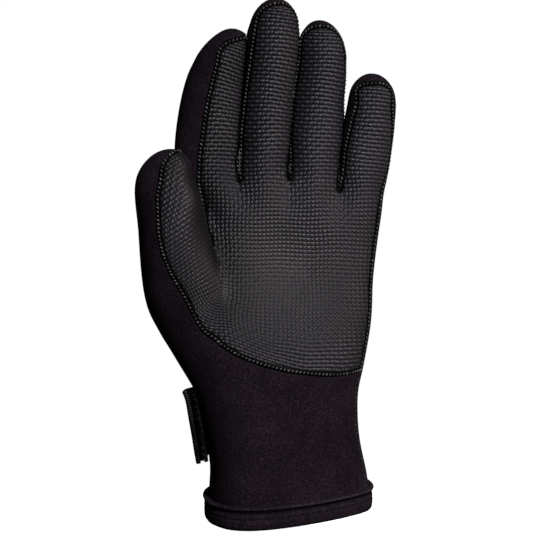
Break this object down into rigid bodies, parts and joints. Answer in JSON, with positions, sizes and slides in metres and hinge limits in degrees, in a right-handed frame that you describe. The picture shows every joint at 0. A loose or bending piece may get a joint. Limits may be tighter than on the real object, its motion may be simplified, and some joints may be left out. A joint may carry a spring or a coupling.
{
  "type": "neoprene glove",
  "caption": "Black neoprene watersports glove for the left hand, held in its worn form, with an embossed rubber grip over the palm and a hook-and-loop wrist strap",
  "frame": {"origin": "the centre of the wrist opening", "axes": "+Z along the hand towards the fingertips, -Y the way the palm faces, -X towards the thumb"},
  "size_m": [0.1298, 0.0784, 0.2647],
  "materials": {
    "neoprene": "matte black jersey over foamed rubber",
    "grip": "dark grey embossed rubber with a soft sheen",
    "webbing": "matte black, stitched along its edges",
    "tape": "black hook-and-loop tape with a fine pile"
  },
  "bodies": {
    "root": {"neoprene_body": "neoprene", "palm_grip": "grip", "cuff_hem": "neoprene", "wrist_strap": "webbing", "hook_tape": "tape", "loop_tape": "tape"}
  },
  "joints": []
}
